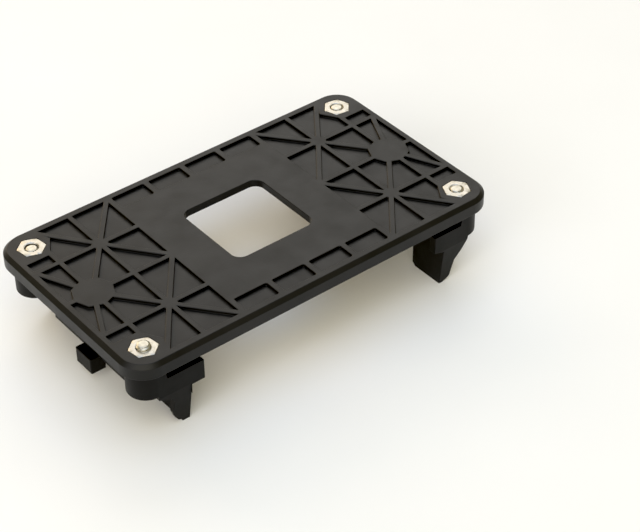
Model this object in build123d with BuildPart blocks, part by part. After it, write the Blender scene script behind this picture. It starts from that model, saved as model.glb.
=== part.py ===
from build123d import *
import math
import os

os.makedirs("parts", exist_ok=True)

# Upside-down frame: the part stands on the tips of its bracket posts at Z = 0.
# The long side of the backplate runs along X and the origin is under its centre.

# backplate
overall_h = 24.4
plate_l = 110.0
plate_w = 62.0
plate_corner_r = 7.0
rim_chamfer = 1.0
rim_h = 4.0
rim_wall = 1.8
floor_t = 2.0
window = 24.0
window_r = 2.8
hole_x = 48.0
hole_y = 24.0
corner_pad_r = 6.9

# raised rib web on the two ends of the back face
pocket_d = 0.75
pocket_r = 0.4
edge_r = 0.15
web_x_in = 23.3
web_x_out = 52.6
web_y = 28.3
rib_w = 1.4
star_x = 34.2
star_y = 14.7
star_r = 2.1
hub_x = 45.8
hub_r = 5.5
star_ray_x = 44.8
notch_in = 18.6
notch_w = 5.0
notch_rib = 1.6
# the ribs run on a little past the web, and past the land round each nut
rib_over = 0.4
land_over = 0.6
land_y_in = 20.0
land_bend = (42.4, 24.3)

# number 6-32 small-pattern hex nut and pan-head screw, thread as a plain pitch-diameter cylinder
nut_flats = 6.35
nut_h = 2.4
nut_bore_r = 1.55
nut_pocket_gap = 0.05
nut_chamfer = 0.2
nut_turn = {"left_front": 38.5, "left_back": 39.0, "right_front": 6.0, "right_back": 50.0}
screw_r = 1.50
screw_l = 9.5
screw_hole_r = 1.80
tip_chamfer = 0.25
head_r = 2.95
head_h = 1.9
head_round = 0.7
cross_l = 3.4
cross_w = 0.9
cross_d = 1.0
# how far each screw stands back from being fully home
screw_back = {"left_front": 0.0, "left_back": 1.3, "right_front": 0.9, "right_back": 1.0}

# retention bracket
boss_r = 5.0
boss_h = 8.2
boss_edge_r = 0.35
cbore_r = 3.35
cbore_d = 3.7
deck_gap = 3.6
deck_t = 1.8
deck_x_out = 49.6
guide_x = 39.8
guide_t = 1.3
guide_y_in = 17.2
end_y = 29.0
end_t = 2.0
tip_lean = 1.4
tip_lean_h = 11.6
post_corner = 1.0
# where the end wall's raised shoulder beside the boss stops
shoulder_x = 45.3
shoulder_run = 0.8
# outline of each end wall below its top edge: arm end, arm root, guide post, gusset up to the boss
end_outline = {
    -1: [
        (-35.0, 11.2),
        (-38.7, 11.2),
        (-39.1, 0.0),
        (-39.9, 0.0),
        (-42.4, 1.2),
        (-43.4, 2.7),
        (-44.1, 4.9),
        (-43.5, 7.9),
        (-44.5, 9.6),
        (-46.2, 10.4),
        (-48.0, 11.2),
    ],
    1: [
        (-36.8, 12.0),
        (-40.7, 10.9),
        (-39.8, 0.0),
        (-40.6, 0.0),
        (-42.1, 0.5),
        (-43.1, 1.4),
        (-43.5, 3.6),
        (-44.1, 6.2),
        (-46.1, 8.6),
        (-47.8, 11.4),
        (-48.0, 12.5),
    ],
}
rail_h = 3.2
clip_wall_x = 48.1
clip_wall_t = 1.7
clip_wall_y = 16.0
clip_wall_bottom = 7.4
lug_x = 50.6
lug_w = 6.5
lug_bottom = 3.1
lug_h = 4.5
lug_edge_r = 0.3

plate_top = overall_h
plate_bottom = plate_top - rim_h
boss_bottom = plate_bottom - boss_h
cbore_top = boss_bottom + cbore_d
deck_top = plate_bottom - deck_gap
deck_bottom = deck_top - deck_t
corners = {
    "left_front": (-hole_x, -hole_y),
    "left_back": (-hole_x, hole_y),
    "right_front": (hole_x, -hole_y),
    "right_back": (hole_x, hole_y),
}


def strut(start, end, width):
    """A straight rib between two points of the sketch."""
    dx = end[0] - start[0]
    dy = end[1] - start[1]
    length = math.hypot(dx, dy)
    turn = math.degrees(math.atan2(dy, dx))
    with Locations(((start[0] + end[0]) / 2, (start[1] + end[1]) / 2)):
        Rectangle(length, width, rotation=turn, mode=Mode.SUBTRACT)


# backplate: tray with a chamfered rim, ribbed back face, square window and four nut pockets
with BuildPart() as backplate:
    with BuildSketch(Plane.XY.offset(plate_bottom)):
        RectangleRounded(plate_l, plate_w, plate_corner_r)
    extrude(amount=rim_h)
    chamfer(backplate.faces().sort_by(Axis.Z)[-1].edges(), rim_chamfer)
    with BuildSketch(Plane.XY.offset(plate_bottom)):
        RectangleRounded(plate_l - 2 * rim_wall, plate_w - 2 * rim_wall, plate_corner_r - rim_wall)
        with Locations(*corners.values()):
            Circle(corner_pad_r, mode=Mode.SUBTRACT)
    extrude(amount=rim_h - floor_t, mode=Mode.SUBTRACT)
    with BuildSketch(Plane.XY.offset(plate_bottom)):
        RectangleRounded(window, window, window_r)
    extrude(amount=rim_h, mode=Mode.SUBTRACT)
    for side in (-1, 1):
        with BuildSketch(Plane.XY.offset(plate_top)):
            with Locations((side * (web_x_in + web_x_out) / 2, 0)):
                Rectangle(web_x_out - web_x_in, 2 * web_y)
            with Locations((side * star_x, 0), (side * hub_x, 0)):
                Rectangle(rib_w, 2 * web_y, mode=Mode.SUBTRACT)
            with Locations((side * (web_x_in + web_x_out) / 2, 0)):
                with Locations((0, -star_y), (0, 0), (0, star_y)):
                    Rectangle(web_x_out - web_x_in, rib_w, mode=Mode.SUBTRACT)
            for end in (-1, 1):
                star = (side * star_x, end * star_y)
                strut(star, (side * (web_x_in - rib_over), end * (web_y + rib_over)), rib_w)
                strut(star, (side * (web_x_in - rib_over), 0), rib_w)
                strut(star, (side * hub_x, 0), rib_w)
                strut(star, (side * star_ray_x, end * (web_y + land_over)), rib_w)
                strut((side * hub_x, 0), (side * web_x_out, end * star_y), rib_w)
                with Locations(star):
                    Circle(star_r, mode=Mode.SUBTRACT)
                # solid land around the nut
                with BuildLine():
                    Polyline(
                        (side * (hub_x - rib_w / 2), end * notch_in),
                        (side * (hub_x - rib_w / 2), end * land_y_in),
                        (side * land_bend[0], end * land_bend[1]),
                        (side * star_ray_x, end * (web_y + land_over)),
                        (side * (web_x_out + land_over), end * (web_y + land_over)),
                        (side * (web_x_out + land_over), end * notch_in),
                        close=True,
                    )
                make_face(mode=Mode.SUBTRACT)
            with Locations((side * hub_x, 0)):
                RegularPolygon(hub_r, 8, mode=Mode.SUBTRACT)
        extrude(amount=-pocket_d, mode=Mode.SUBTRACT)
    with BuildSketch(Plane.XY.offset(plate_top)):
        for side in (-1, 1):
            with Locations((0, side * (web_y - notch_w / 2))):
                with GridLocations((2 * web_x_in - notch_rib) / 4, 1, 4, 1):
                    RectangleRounded((2 * web_x_in - notch_rib) / 4 - notch_rib, notch_w, pocket_r)
    extrude(amount=-pocket_d, mode=Mode.SUBTRACT)
    for corner, (cx, cy) in corners.items():
        with BuildSketch(Plane.XY.offset(plate_top)):
            with Locations((cx, cy)):
                RegularPolygon(nut_flats / 2 + nut_pocket_gap, 6, major_radius=False, rotation=nut_turn[corner])
        extrude(amount=-nut_h, mode=Mode.SUBTRACT)
    with BuildSketch(Plane.XY.offset(plate_bottom)):
        with Locations(*corners.values()):
            Circle(screw_hole_r)
    extrude(amount=rim_h, mode=Mode.SUBTRACT)
    # moulded radius round every edge of the back face
    fillet(backplate.faces().sort_by(Axis.Z)[-1].edges(), edge_r)
backplate.part.label = "backplate"
export_step(backplate.part, "parts/backplate.step")

# four hex nuts flush with the back face
with BuildPart() as hex_nuts:
    for corner, (cx, cy) in corners.items():
        with BuildSketch(Plane.XY.offset(plate_top - nut_h)):
            with Locations((cx, cy)):
                RegularPolygon(nut_flats / 2, 6, major_radius=False, rotation=nut_turn[corner])
        extrude(amount=nut_h)
    chamfer(hex_nuts.faces().filter_by(Axis.Z).group_by(Axis.Z)[-1].edges(), nut_chamfer)
    with BuildSketch(Plane.XY.offset(plate_top - nut_h)):
        with Locations(*corners.values()):
            Circle(nut_bore_r)
    extrude(amount=nut_h, mode=Mode.SUBTRACT)
    chamfer(hex_nuts.edges().filter_by(GeomType.CIRCLE).group_by(Axis.Z)[-1], nut_chamfer)
hex_nuts.part.label = "hex_nuts"
export_step(hex_nuts.part, "parts/hex_nuts.step")

# retention bracket of the left end
with BuildPart() as bracket_left:
    with BuildSketch(Plane.XY.offset(boss_bottom)):
        with Locations((-hole_x, -hole_y), (-hole_x, hole_y)):
            Circle(boss_r)
    extrude(amount=boss_h)
    fillet(bracket_left.faces().group_by(Axis.Z)[0].edges(), boss_edge_r)
    with BuildSketch(Plane.XY.offset(deck_bottom)):
        with Locations((-(deck_x_out + guide_x) / 2, 0)):
            Rectangle(deck_x_out - guide_x, 2 * end_y - 2 * end_t)
    extrude(amount=deck_t)
    for end in (-1, 1):
        # end wall with its guide post and the slanted gusset towards the boss
        with BuildSketch(Plane.XZ.offset(-end * end_y)):
            with BuildLine():
                Polyline(
                    (end_outline[end][0][0], deck_top),
                    *end_outline[end],
                    (-hole_x, plate_bottom),
                    (-shoulder_x - shoulder_run, plate_bottom),
                    (-shoulder_x, deck_top),
                    close=True,
                )
            make_face()
        extrude(amount=end * end_t)
        # guide wall along the end of the cooler base
        with BuildSketch(Plane.YZ.offset(-guide_x - guide_t)):
            with BuildLine():
                Polyline(
                    (end * end_y, 0),
                    (end * (guide_y_in + post_corner), 0),
                    (end * guide_y_in, post_corner),
                    (end * guide_y_in, deck_top),
                    (end * end_y, deck_top),
                    close=True,
                )
            make_face()
        extrude(amount=guide_t)
        # lean of the outer post face
        with BuildSketch(Plane.YZ.offset(-hole_x - 1.0)):
            with BuildLine():
                Polyline(
                    (end * end_y, tip_lean_h),
                    (end * (end_y - tip_lean), 0),
                    (end * (end_y + 1.0), 0),
                    (end * (end_y + 1.0), tip_lean_h),
                    close=True,
                )
            make_face()
        extrude(amount=hole_x - guide_x + 2.0, mode=Mode.SUBTRACT)
    # inner rail, clip wall and clip lug
    with BuildSketch(Plane.XY.offset(deck_top - rail_h)):
        with Locations((-guide_x - guide_t / 2, 0)):
            Rectangle(guide_t, 2 * guide_y_in + 1.0)
        with Locations((-deck_x_out + guide_t / 2, 0)):
            Rectangle(guide_t, 2 * hole_y - boss_r)
    extrude(amount=rail_h)
    with BuildSketch(Plane.XY.offset(clip_wall_bottom)):
        with Locations((-clip_wall_x + clip_wall_t / 2, 0)):
            Rectangle(clip_wall_t, 2 * clip_wall_y)
    extrude(amount=deck_top - clip_wall_bottom)
    with BuildSketch(Plane.XY.offset(lug_bottom)):
        with Locations((-(lug_x + clip_wall_x - clip_wall_t) / 2, 0)):
            Rectangle(lug_x - clip_wall_x + clip_wall_t, lug_w)
    extrude(amount=lug_h)
    lug_face = bracket_left.faces().filter_by(Axis.X).sort_by(Axis.X)[0]
    fillet(lug_face.edges(), lug_edge_r)
    # screw holes, counterbored for the heads
    with BuildSketch(Plane.XY.offset(boss_bottom)):
        with Locations((-hole_x, -hole_y), (-hole_x, hole_y)):
            Circle(screw_hole_r)
    extrude(amount=boss_h, mode=Mode.SUBTRACT)
    with BuildSketch(Plane.XY.offset(boss_bottom)):
        with Locations((-hole_x, -hole_y), (-hole_x, hole_y)):
            Circle(cbore_r)
    extrude(amount=cbore_d, mode=Mode.SUBTRACT)
bracket_left.part.label = "bracket_left"
export_step(bracket_left.part, "parts/bracket_left.step")

# the same moulding turned half round for the right end
with BuildPart() as bracket_right:
    add(bracket_left.part.rotate(Axis.Z, 180))
bracket_right.part.label = "bracket_right"
export_step(bracket_right.part, "parts/bracket_right.step")

# pan-head cross-recess screws, driven up from inside the bracket bosses
for corner, (cx, cy) in corners.items():
    seat = cbore_top - screw_back[corner]
    with BuildPart() as screw:
        with BuildSketch(Plane.XY.offset(seat)):
            with Locations((cx, cy)):
                Circle(screw_r)
        extrude(amount=screw_l)
        chamfer(screw.faces().sort_by(Axis.Z)[-1].edges(), tip_chamfer)
        with BuildSketch(Plane.XY.offset(seat - head_h)):
            with Locations((cx, cy)):
                Circle(head_r)
        extrude(amount=head_h)
        fillet(screw.faces().sort_by(Axis.Z)[0].edges(), head_round)
        with BuildSketch(Plane.XY.offset(seat - head_h)):
            with Locations((cx, cy)):
                Rectangle(cross_l, cross_w)
                Rectangle(cross_w, cross_l)
        extrude(amount=cross_d, mode=Mode.SUBTRACT)
    screw.part.label = "screw_" + corner
    export_step(screw.part, "parts/screw_" + corner + ".step")
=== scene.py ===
import math

import bmesh
import bpy
from mathutils import Matrix, Vector


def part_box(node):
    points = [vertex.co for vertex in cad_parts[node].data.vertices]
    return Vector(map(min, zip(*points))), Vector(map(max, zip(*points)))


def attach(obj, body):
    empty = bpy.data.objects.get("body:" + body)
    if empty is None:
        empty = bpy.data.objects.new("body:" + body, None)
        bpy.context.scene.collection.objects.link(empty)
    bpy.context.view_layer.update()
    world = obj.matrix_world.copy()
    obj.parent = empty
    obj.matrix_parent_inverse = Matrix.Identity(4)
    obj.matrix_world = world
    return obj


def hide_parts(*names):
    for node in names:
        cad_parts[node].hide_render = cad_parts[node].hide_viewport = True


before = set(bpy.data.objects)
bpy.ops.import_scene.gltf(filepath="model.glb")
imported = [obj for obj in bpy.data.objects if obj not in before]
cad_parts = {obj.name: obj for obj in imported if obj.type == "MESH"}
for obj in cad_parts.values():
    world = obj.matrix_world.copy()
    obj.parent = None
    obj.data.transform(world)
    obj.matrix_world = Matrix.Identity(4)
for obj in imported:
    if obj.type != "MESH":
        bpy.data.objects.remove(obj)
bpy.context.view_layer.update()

MM = 0.001
scene = bpy.context.scene

CORNERS = ("left_front", "left_back", "right_front", "right_back")
PLATE_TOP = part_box("backplate")[1].z


# ---------------------------------------------------------------- materials

# noise scales are in cycles per metre, heights and radii in metres
PATCH_SCALE = 55
FLOW_SCALE = 160
FLOW_STRENGTH = 0.12
FLOW_HEIGHT = 0.0002
GRAIN_SCALE = 2600
GRAIN_STRENGTH = 0.30
GRAIN_HEIGHT = 0.00004
EDGE_RADIUS = 0.0002
EDGE_SAMPLES = 6
PLASTIC_IOR = 1.46
PLATING_SCALE = 700
SCRATCH_SCALE = 5200
SCRATCH_STRENGTH = 0.25
SCRATCH_HEIGHT = 0.00002
# the part of a noise's range that tones and roughness are spread over
NOISE_MIDDLE = (0.3, 0.7)


def new_material(name):
    """A new material, its emptied node tree and its output node."""
    made = bpy.data.materials.new(name)
    made.use_nodes = True
    tree = made.node_tree
    tree.nodes.clear()
    return made, tree, tree.nodes.new("ShaderNodeOutputMaterial")


def object_coords(tree):
    return tree.nodes.new("ShaderNodeTexCoord").outputs["Object"]


def noise(tree, coords, scale, detail, rough=0.5):
    node = tree.nodes.new("ShaderNodeTexNoise")
    node.inputs["Scale"].default_value = scale
    node.inputs["Detail"].default_value = detail
    node.inputs["Roughness"].default_value = rough
    tree.links.new(coords, node.inputs["Vector"])
    return node.outputs["Fac"]


def tones(tree, fac, dark, light):
    """Two colours spread over the middle of a noise's range."""
    node = tree.nodes.new("ShaderNodeValToRGB")
    for element, at, colour in zip(node.color_ramp.elements, NOISE_MIDDLE, (dark, light)):
        element.position = at
        element.color = (*colour, 1)
    tree.links.new(fac, node.inputs["Fac"])
    return node.outputs["Color"]


def span(tree, fac, target, source=NOISE_MIDDLE):
    """fac mapped from the source range to the target range."""
    node = tree.nodes.new("ShaderNodeMapRange")
    node.inputs["From Min"].default_value = source[0]
    node.inputs["From Max"].default_value = source[1]
    node.inputs["To Min"].default_value = target[0]
    node.inputs["To Max"].default_value = target[1]
    tree.links.new(fac, node.inputs["Value"])
    return node.outputs["Result"]


def bump(tree, height, strength, distance, normal=None):
    node = tree.nodes.new("ShaderNodeBump")
    node.inputs["Strength"].default_value = strength
    node.inputs["Distance"].default_value = distance
    tree.links.new(height, node.inputs["Height"])
    if normal is not None:
        tree.links.new(normal, node.inputs["Normal"])
    return node.outputs["Normal"]


def plastic(name, dark, light, rough, gloss):
    """Black moulded plastic: spark-eroded grain, faint flow marks, patchy sheen and rounded edges."""
    made, tree, out = new_material(name)
    coords = object_coords(tree)
    shader = tree.nodes.new("ShaderNodeBsdfPrincipled")
    tree.links.new(shader.outputs["BSDF"], out.inputs["Surface"])
    patches = noise(tree, coords, PATCH_SCALE, 3, 0.55)
    grain = noise(tree, coords, GRAIN_SCALE, 2, 0.6)
    tree.links.new(tones(tree, patches, dark, light), shader.inputs["Base Color"])
    flow = noise(tree, coords, FLOW_SCALE, 4, 0.6)
    tree.links.new(span(tree, flow, rough), shader.inputs["Roughness"])
    edge = tree.nodes.new("ShaderNodeBevel")
    edge.samples = EDGE_SAMPLES
    edge.inputs["Radius"].default_value = EDGE_RADIUS
    marks = bump(tree, flow, FLOW_STRENGTH, FLOW_HEIGHT, edge.outputs["Normal"])
    surface = bump(tree, grain, GRAIN_STRENGTH, GRAIN_HEIGHT, marks)
    tree.links.new(surface, shader.inputs["Normal"])
    shader.inputs["IOR"].default_value = PLASTIC_IOR
    shader.inputs["Specular IOR Level"].default_value = gloss
    return made


def metal(name, dark, light, rough):
    """Nickel plate with tumbled scratches and slightly warm patches."""
    made, tree, out = new_material(name)
    coords = object_coords(tree)
    shader = tree.nodes.new("ShaderNodeBsdfPrincipled")
    tree.links.new(shader.outputs["BSDF"], out.inputs["Surface"])
    shader.inputs["Metallic"].default_value = 1.0
    patches = noise(tree, coords, PLATING_SCALE, 4, 0.6)
    tree.links.new(tones(tree, patches, dark, light), shader.inputs["Base Color"])
    scratches = noise(tree, coords, SCRATCH_SCALE, 3, 0.7)
    tree.links.new(span(tree, scratches, rough), shader.inputs["Roughness"])
    surface = bump(tree, scratches, SCRATCH_STRENGTH, SCRATCH_HEIGHT)
    tree.links.new(surface, shader.inputs["Normal"])
    return made


plate_plastic = plastic(
    "plate_plastic",
    dark=(0.0040, 0.0039, 0.0037),
    light=(0.0085, 0.0080, 0.0076),
    rough=(0.36, 0.46),
    gloss=0.34,
)
bracket_plastic = plastic(
    "bracket_plastic",
    dark=(0.0035, 0.0034, 0.0033),
    light=(0.0070, 0.0067, 0.0064),
    rough=(0.42, 0.54),
    gloss=0.22,
)
nut_nickel = metal("nut_nickel", dark=(0.50, 0.47, 0.41), light=(0.62, 0.59, 0.53), rough=(0.36, 0.50))
screw_nickel = metal("screw_nickel", dark=(0.44, 0.415, 0.35), light=(0.60, 0.57, 0.50), rough=(0.30, 0.46))


# ---------------------------------------------------------------- plastic mouldings

def dress(node, material):
    """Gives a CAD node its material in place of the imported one."""
    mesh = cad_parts[node].data
    mesh.materials.clear()
    mesh.materials.append(material)


dress("backplate", plate_plastic)
dress("bracket_left", bracket_plastic)
dress("bracket_right", bracket_plastic)


# ---------------------------------------------------------------- turned and threaded metal

# these lengths are in millimetres and these angles in degrees, and WELD alone is in metres;
# the functions below take polar angles in radians and a nut's turn in degrees
WELD = 1e-6
SEGMENTS = 72
SHARP_ANGLE = 32
PITCH = 0.794
FLANK_GAIN = 1.5
FLANK_SHIFT = 0.3
CREST_R = 1.68
ROOT_R = 1.26
# a groove faces GROOVE_SIDE just under every tip, so the last crest stands alone
TIP_GROOVE = 0.24
GROOVE_SIDE = 232
TIP_R = 1.26
TIP_H = 0.20
TIP_EDGE = 0.04
TIP_FLAT_R = 0.5
AXIS_R = 0.02
HEAD_H = 1.9
HEAD_FLAT = 0.62
HEAD_DOME = 0.55
HEAD_STEPS = 6
HEAD_EDGE = 0.12
NECK_R = 1.78
NECK_H = 0.15
THREAD_FROM = 0.3
THREAD_TO = 0.03
SCREW_ROW = PITCH / 16
CROSS_DEPTH = 1.25
CROSS_LENGTH = 3.3
CROSS_WIDTH = 0.85
CROSS_BELOW = 0.5
CROSS_TAPER = (0.55, 0.75)
NUT_FLATS = 6.35
NUT_H = 2.4
NUT_BORE_R = 1.72
NUT_MAJOR_R = 1.86
NUT_LIP_R = 1.92
NUT_LAND_R = 2.3
NUT_LEAD = 0.12
NUT_ROWS = 26
NUT_PHASE = 0.4 * PITCH
NUT_WASHER_R = NUT_FLATS / 2 * 1.06
NUT_EDGE = 0.03
NUT_EDGE_DROP = 0.025
NUT_SLOPE = 0.25
NUT_TURN = {"left_front": 38.5, "left_back": 39.0, "right_front": 6.0, "right_back": 50.0}


def thread(z, angle, root, crest):
    """Radius of a V thread with flat roots and crests at height z and a polar angle."""
    turn = (z / PITCH - angle / (2 * math.pi)) % 1.0
    wave = 1.0 - abs(2.0 * turn - 1.0)
    return root + (crest - root) * min(1.0, max(0.0, FLANK_GAIN * wave - FLANK_SHIFT))


def lathe(name, rows, caps, material):
    """A closed skin through rows of points in mm; each row is a function from an angle to (radius, z)."""
    form = bmesh.new()
    rings = []
    for row in rows:
        ring = []
        for step in range(SEGMENTS):
            angle = 2 * math.pi * step / SEGMENTS
            radius, z = row(angle)
            ring.append(form.verts.new((radius * math.cos(angle), radius * math.sin(angle), z)))
        rings.append(ring)
    pairs = list(zip(rings, rings[1:]))
    if not caps:
        pairs.append((rings[-1], rings[0]))
    for low, high in pairs:
        for step in range(SEGMENTS):
            after = (step + 1) % SEGMENTS
            form.faces.new((low[step], low[after], high[after], high[step]))
    if caps:
        form.faces.new(rings[0][::-1])
        form.faces.new(rings[-1])
    bmesh.ops.recalc_face_normals(form, faces=form.faces)
    bmesh.ops.scale(form, vec=(MM, MM, MM), verts=form.verts)
    mesh = bpy.data.meshes.new(name)
    form.to_mesh(mesh)
    form.free()
    mesh.materials.append(material)
    mesh.shade_smooth()
    mesh.set_sharp_from_angle(angle=math.radians(SHARP_ANGLE))
    made = bpy.data.objects.new(name, mesh)
    scene.collection.objects.link(made)
    return made


def fixed(radius, z):
    return lambda angle: (radius, z)


def hexagon(turn, angle, inset=0.0):
    """Radius of a nut's outline at a polar angle."""
    off = (math.degrees(angle) - turn) % 60.0
    return (NUT_FLATS / 2 - inset) / math.cos(math.radians(off - 30.0))


def cross_cutter():
    """Two crossed blades that taper upwards from under a screw head's base."""
    form = bmesh.new()
    half_l = CROSS_LENGTH / 2
    half_w = CROSS_WIDTH / 2
    outline = ((-half_l, -half_w), (half_l, -half_w), (half_l, half_w), (-half_l, half_w))
    narrow_l, narrow_w = CROSS_TAPER
    for turn in (0, 90):
        spin = Matrix.Rotation(math.radians(turn), 4, "Z")
        bottom = [form.verts.new(spin @ Vector((x, y, -CROSS_BELOW))) for x, y in outline]
        top = [form.verts.new(spin @ Vector((x * narrow_l, y * narrow_w, CROSS_DEPTH))) for x, y in outline]
        for i in range(4):
            j = (i + 1) % 4
            form.faces.new((bottom[i], bottom[j], top[j], top[i]))
        form.faces.new(bottom[::-1])
        form.faces.new(top)
    bmesh.ops.scale(form, vec=(MM, MM, MM), verts=form.verts)
    mesh = bpy.data.meshes.new("cross_cutter")
    form.to_mesh(mesh)
    form.free()
    cutter = bpy.data.objects.new("cross_cutter", mesh)
    scene.collection.objects.link(cutter)
    return cutter


def cut_cross(made):
    """Cuts the cross recess into a screw head and welds the slivers that the cut leaves."""
    cutter = cross_cutter()
    cutter.matrix_world = made.matrix_world
    cut = made.modifiers.new("cross", "BOOLEAN")
    cut.operation = "DIFFERENCE"
    cut.solver = "EXACT"
    cut.use_self = True
    cut.object = cutter
    bpy.context.view_layer.update()
    graph = bpy.context.evaluated_depsgraph_get()
    done = bpy.data.meshes.new_from_object(made.evaluated_get(graph), depsgraph=graph)
    made.modifiers.clear()
    old = made.data
    made.data = done
    form = bmesh.new()
    form.from_mesh(done)
    bmesh.ops.remove_doubles(form, verts=form.verts, dist=WELD)
    bmesh.ops.dissolve_degenerate(form, edges=form.edges, dist=WELD)
    form.to_mesh(done)
    form.free()
    bpy.data.meshes.remove(old)
    bpy.data.objects.remove(cutter)
    done.name = made.name


def screw(corner):
    """A pan-head machine screw with a helical thread and a cross recess, in place of the CAD screw."""
    node = "screw_" + corner
    low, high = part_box(node)
    centre = (low + high) / 2
    total = (high.z - low.z) / MM
    head_r = (high.x - low.x) / 2 / MM
    phase = 2 * math.pi * ((total - TIP_GROOVE) / PITCH) - math.radians(GROOVE_SIDE)
    rows = [fixed(AXIS_R, 0.0), fixed(head_r * HEAD_FLAT, 0.0)]
    for step in range(1, HEAD_STEPS + 1):
        turn = math.radians(90 * step / HEAD_STEPS)
        radius = head_r * (HEAD_FLAT + (1 - HEAD_FLAT) * math.sin(turn))
        rows.append(fixed(radius, HEAD_H * HEAD_DOME * (1 - math.cos(turn))))
    rows.append(fixed(head_r, HEAD_H - HEAD_EDGE))
    rows.append(fixed(head_r - HEAD_EDGE, HEAD_H))
    rows.append(fixed(NECK_R, HEAD_H))
    rows.append(fixed(ROOT_R, HEAD_H + NECK_H))
    start = HEAD_H + THREAD_FROM
    finish = total - THREAD_TO
    count = int((finish - start) / SCREW_ROW)
    for step in range(count + 1):
        z = start + (finish - start) * step / count

        def row(angle, z=z):
            taper = min(1.0, (total - z) / TIP_H)
            return min(thread(z, angle + phase, ROOT_R, CREST_R), TIP_R + (CREST_R - TIP_R) * taper), z

        rows.append(row)
    rows.append(fixed(TIP_R - TIP_EDGE, total))
    rows.append(fixed(TIP_FLAT_R, total))
    rows.append(fixed(AXIS_R, total))
    made = lathe(node + "_detailed", rows, True, screw_nickel)
    made.location = (centre.x, centre.y, low.z)
    bpy.context.view_layer.update()
    cut_cross(made)
    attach(made, corner + "_screw")
    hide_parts(node)


def nut_shoulder(turn, top):
    """The line where the nut's sides meet the chamfered corners of its top or bottom face."""
    def row(angle):
        reach = hexagon(turn, angle)
        drop = NUT_EDGE_DROP + max(0.0, reach - NUT_WASHER_R) * NUT_SLOPE
        return reach, (NUT_H - drop if top else drop)
    return row


def nut_face(turn, top):
    """The outer edge of the nut's top or bottom face."""
    def row(angle):
        return min(NUT_WASHER_R, hexagon(turn, angle, NUT_EDGE)), (NUT_H if top else 0.0)
    return row


def nut(corner):
    """A hex nut with chamfered corners and an internal thread, in place of its CAD solid."""
    low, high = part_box("screw_" + corner)
    centre = (low + high) / 2
    turn = NUT_TURN[corner]
    rows = [nut_face(turn, False), nut_shoulder(turn, False), nut_shoulder(turn, True), nut_face(turn, True)]
    rows.append(fixed(NUT_LAND_R, NUT_H))
    rows.append(fixed(NUT_LIP_R, NUT_H))
    for step in range(NUT_ROWS + 1):
        z = NUT_H - NUT_LEAD - (NUT_H - 2 * NUT_LEAD) * step / NUT_ROWS

        def row(angle, z=z):
            return thread(z + NUT_PHASE, angle, NUT_BORE_R, NUT_MAJOR_R), z

        rows.append(row)
    rows.append(fixed(NUT_LIP_R, 0.0))
    rows.append(fixed(NUT_LAND_R, 0.0))
    made = lathe("nut_" + corner, rows, False, nut_nickel)
    made.location = (centre.x, centre.y, PLATE_TOP - NUT_H * MM)
    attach(made, "plate")
    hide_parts("hex_nuts")


for corner in CORNERS:
    screw(corner)
    nut(corner)


# ---------------------------------------------------------------- floor and backdrop

FLOOR_HALF = 3.0
FLOOR_ROUGH = 0.8
FLOOR_DARK = (0.845, 0.848, 0.853)
FLOOR_LIGHT = (0.87, 0.875, 0.883)
MOTTLE_SCALE = 12
# distances from the middle between which the paper fades
FLOOR_FADE = (0.45, 0.95)
FAR_PALE = (0.90, 0.90, 0.875)
DOME_R = 2.6


def glow(tree):
    """An even pale light, the look of paper far from the object."""
    node = tree.nodes.new("ShaderNodeEmission")
    node.inputs["Color"].default_value = (*FAR_PALE, 1)
    return node.outputs["Emission"]


def floor_paper():
    """White paper near the object that fades to an even pale tone before the horizon."""
    made, tree, out = new_material("floor_paper")
    coords = object_coords(tree)
    shader = tree.nodes.new("ShaderNodeBsdfPrincipled")
    shader.inputs["Roughness"].default_value = FLOOR_ROUGH
    mottle = noise(tree, coords, MOTTLE_SCALE, 3)
    tree.links.new(tones(tree, mottle, FLOOR_DARK, FLOOR_LIGHT), shader.inputs["Base Color"])
    reach = tree.nodes.new("ShaderNodeVectorMath")
    reach.operation = "LENGTH"
    tree.links.new(coords, reach.inputs[0])
    mix = tree.nodes.new("ShaderNodeMixShader")
    tree.links.new(span(tree, reach.outputs["Value"], (0, 1), FLOOR_FADE), mix.inputs[0])
    tree.links.new(shader.outputs["BSDF"], mix.inputs[1])
    tree.links.new(glow(tree), mix.inputs[2])
    tree.links.new(mix.outputs[0], out.inputs["Surface"])
    return made


def stage_piece(name, mesh, material):
    mesh.materials.append(material)
    made = bpy.data.objects.new(name, mesh)
    scene.collection.objects.link(made)
    return made


def backdrop_paper():
    made, tree, out = new_material("backdrop_paper")
    tree.links.new(glow(tree), out.inputs["Surface"])
    return made


def floor():
    mesh = bpy.data.meshes.new("floor")
    around = ((-1, -1), (1, -1), (1, 1), (-1, 1))
    mesh.from_pydata([(x * FLOOR_HALF, y * FLOOR_HALF, 0) for x, y in around], [], [(0, 1, 2, 3)])
    stage_piece("floor", mesh, floor_paper())


def backdrop():
    """A pale dome round everything that only the camera sees, so it lights nothing."""
    paper = backdrop_paper()
    mesh = bpy.data.meshes.new("backdrop")
    form = bmesh.new()
    bmesh.ops.create_uvsphere(form, u_segments=48, v_segments=24, radius=DOME_R)
    form.to_mesh(mesh)
    form.free()
    dome = stage_piece("backdrop", mesh, paper)
    dome.visible_diffuse = False
    dome.visible_glossy = False
    dome.visible_transmission = False
    dome.visible_volume_scatter = False
    dome.visible_shadow = False


floor()
backdrop()


# ---------------------------------------------------------------- light

ROOM_COLOUR = (1.0, 0.88, 0.50)
ROOM_STRENGTH = 0.37
BLACK_LEVEL = 0.0085
LAMP_AIM = Vector((0, 0, 0))


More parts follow.
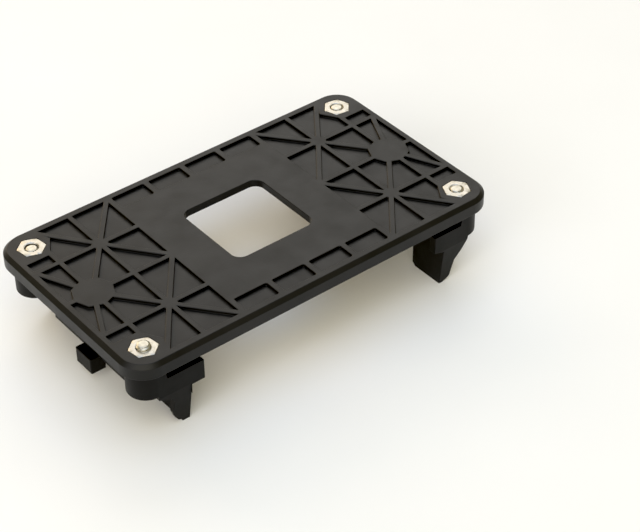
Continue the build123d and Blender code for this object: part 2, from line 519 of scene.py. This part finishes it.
def area_light(name, place, size, power, colour):
    """A round lamp of a diameter in metres and a power in watts."""
    data = bpy.data.lights.new(name, "AREA")
    data.shape = "DISK"
    data.size = size
    data.energy = power
    data.color = colour
    lamp = bpy.data.objects.new(name, data)
    lamp.location = place
    lamp.rotation_mode = "QUATERNION"
    lamp.rotation_quaternion = (LAMP_AIM - Vector(place)).to_track_quat("-Z", "Y")
    scene.collection.objects.link(lamp)


area_light("ceiling", (0.0, 0.0, 1.5), 1.6, 9.5, (0.455, 0.635, 1.0))
area_light("window", (0.70, 0.90, 0.85), 1.0, 4.9, (1.0, 0.99, 1.0))
area_light("wall", (0.0, 1.3, 0.55), 0.9, 6.3, (1.0, 0.79, 0.55))
area_light("table_side", (-1.3, -0.1, 0.55), 0.9, 5.2, (0.86, 0.87, 1.0))
area_light("room_side", (-0.75, -0.95, 0.95), 1.9, 18.8, (1.0, 0.965, 0.85))

world = bpy.data.worlds.new("room")
scene.world = world
world.use_nodes = True
world.node_tree.nodes["Background"].inputs["Color"].default_value = (*ROOM_COLOUR, 1)
world.node_tree.nodes["Background"].inputs["Strength"].default_value = ROOM_STRENGTH

scene.view_settings.view_transform = "Standard"
scene.view_settings.use_curve_mapping = True
scene.view_settings.curve_mapping.black_level = (BLACK_LEVEL, BLACK_LEVEL, BLACK_LEVEL)
scene.view_settings.curve_mapping.update()


# ---------------------------------------------------------------- camera

CAMERA_AT = Vector((-0.2197798, -0.3071882, 0.3098871))
CAMERA_RIGHT = Vector((0.77993823, -0.62577448, -0.01013212))
CAMERA_UP = Vector((0.39664626, 0.4817104, 0.78142616))
CAMERA_BACK = Vector((-0.4841158, -0.613483, 0.62391546))

data = bpy.data.cameras.new("camera")
data.sensor_width = 36
data.sensor_fit = "HORIZONTAL"
data.lens = 107.13
data.clip_start = 0.01
data.clip_end = 20
camera = bpy.data.objects.new("camera", data)
scene.collection.objects.link(camera)
turned = Matrix((CAMERA_RIGHT, CAMERA_UP, CAMERA_BACK)).transposed().to_4x4()
camera.matrix_world = Matrix.Translation(CAMERA_AT) @ turned
scene.camera = camera
